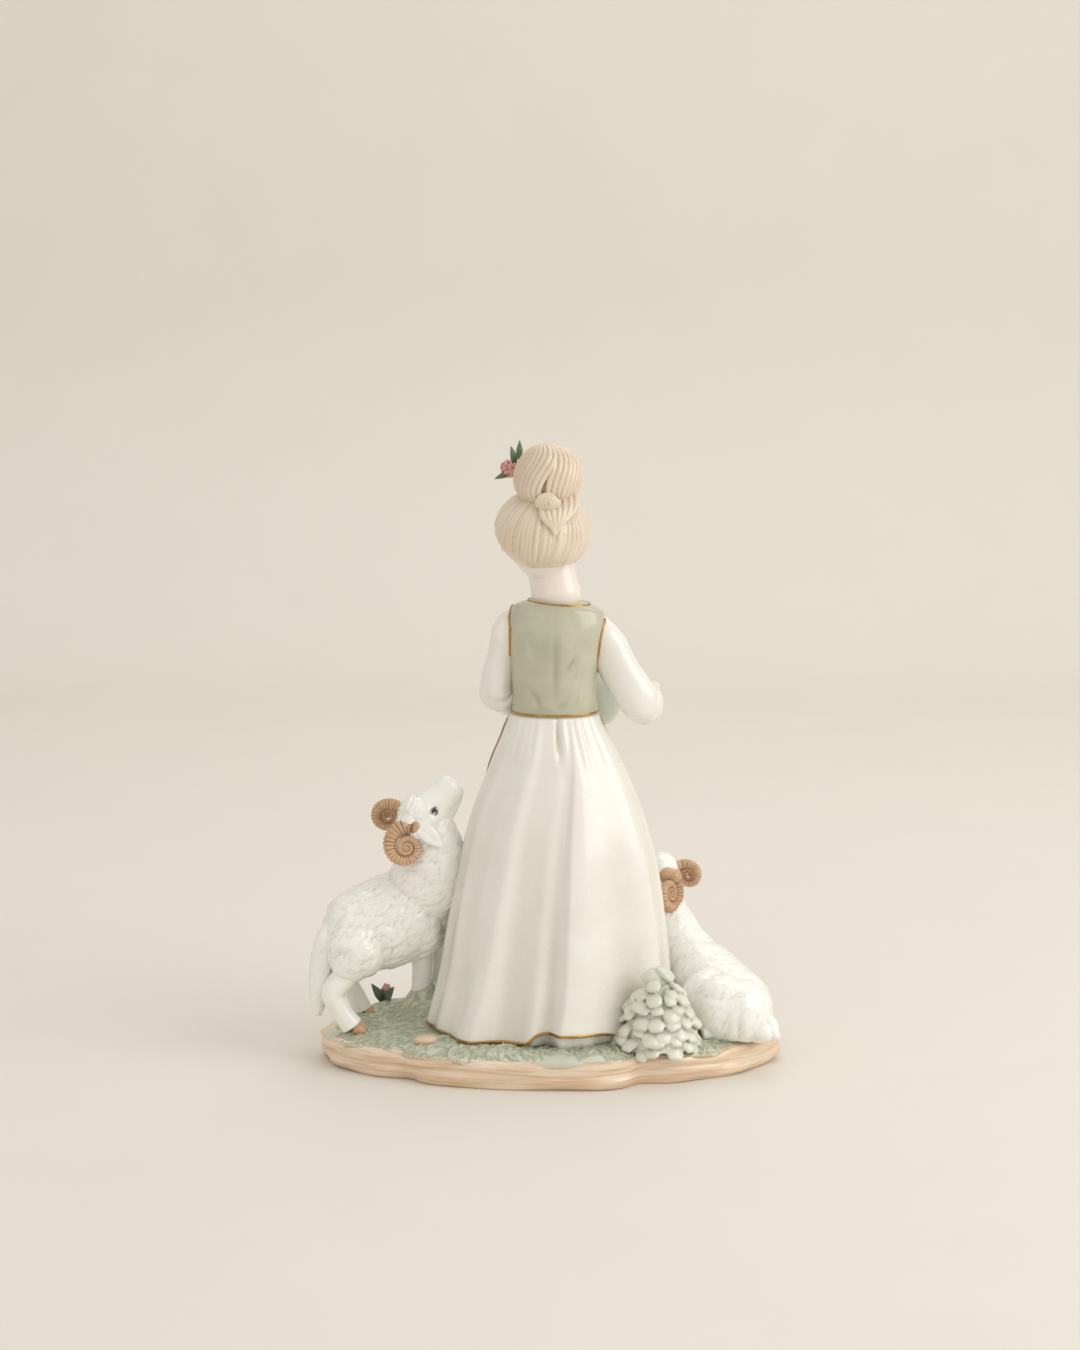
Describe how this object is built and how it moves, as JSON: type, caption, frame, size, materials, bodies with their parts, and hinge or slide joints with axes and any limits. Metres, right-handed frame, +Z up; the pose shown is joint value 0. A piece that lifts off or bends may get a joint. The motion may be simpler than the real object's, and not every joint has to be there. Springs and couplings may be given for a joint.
{
  "type": "porcelain figurine",
  "caption": "Glazed porcelain figurine of a girl in a long gathered dress standing between two rams on an oval base.",
  "frame": {"origin": "middle of the base's flat underside, on the surface that the figurine stands on", "axes": "+Z up, +X along the base's long axis towards the lying ram, +Y the way the girl faces"},
  "size_m": [0.1926, 0.1015, 0.2548],
  "materials": {
    "tan_glaze": "gloss",
    "turf_glaze": "gloss",
    "white_glaze": "gloss",
    "sage_glaze": "gloss",
    "cloth_glaze": "gloss",
    "skin_glaze": "gloss",
    "hair_glaze": "gloss",
    "leaf_glaze": "satin",
    "pink_glaze": "satin",
    "wool_glaze": "gloss",
    "horn_glaze": "satin",
    "gilding": "gloss",
    "dark_paint": "gloss"
  },
  "bodies": {
    "root": {"base_slab": "tan_glaze", "turf_ground": "turf_glaze", "grass_bank": "turf_glaze", "pebble": "tan_glaze", "sprig_bud": "pink_glaze", "sprig_leaf_left": "leaf_glaze", "sprig_leaf_right": "leaf_glaze", "bush": "turf_glaze", "petticoat": "white_glaze", "skirt": "white_glaze", "apron": "cloth_glaze", "bodice": "sage_glaze", "sleeve_left": "white_glaze", "sleeve_right": "white_glaze", "hand_left": "skin_glaze", "hand_right": "skin_glaze", "kerchief_bundle": "cloth_glaze", "fodder_leaves": "leaf_glaze", "fodder_flower": "pink_glaze", "neck": "skin_glaze", "head": "skin_glaze", "hair_cap": "hair_glaze", "hair_bun": "hair_glaze", "hair_curl": "hair_glaze", "hair_flower": "pink_glaze", "hair_leaf_upper": "leaf_glaze", "hair_leaf_back": "leaf_glaze", "hair_leaf_lower": "leaf_glaze", "standing_ram_body": "wool_glaze", "standing_ram_neck": "wool_glaze", "standing_ram_head": "wool_glaze", "standing_ram_horn_left": "horn_glaze", "standing_ram_horn_right": "horn_glaze", "standing_ram_ear_left": "wool_glaze", "standing_ram_ear_right": "wool_glaze", "standing_ram_tail": "wool_glaze", "standing_ram_hind_right_leg": "wool_glaze", "standing_ram_hind_right_hoof": "horn_glaze", "standing_ram_hind_left_leg": "wool_glaze", "standing_ram_hind_left_hoof": "horn_glaze", "standing_ram_fore_right_leg": "wool_glaze", "standing_ram_fore_right_hoof": "horn_glaze", "standing_ram_fore_left_leg": "wool_glaze", "standing_ram_fore_left_hoof": "horn_glaze", "lying_ram_body": "wool_glaze", "lying_ram_neck": "wool_glaze", "lying_ram_head": "wool_glaze", "lying_ram_horn_left": "horn_glaze", "lying_ram_horn_right": "horn_glaze", "lying_ram_ear_left": "wool_glaze", "lying_ram_ear_right": "wool_glaze", "lying_ram_tail": "wool_glaze", "lying_ram_fore_left_leg": "wool_glaze", "lying_ram_fore_left_hoof": "horn_glaze", "lying_ram_fore_right_leg": "wool_glaze", "lying_ram_fore_right_hoof": "horn_glaze", "lying_ram_hind_left_leg": "wool_glaze", "lying_ram_hind_left_hoof": "horn_glaze"}
  },
  "joints": []
}
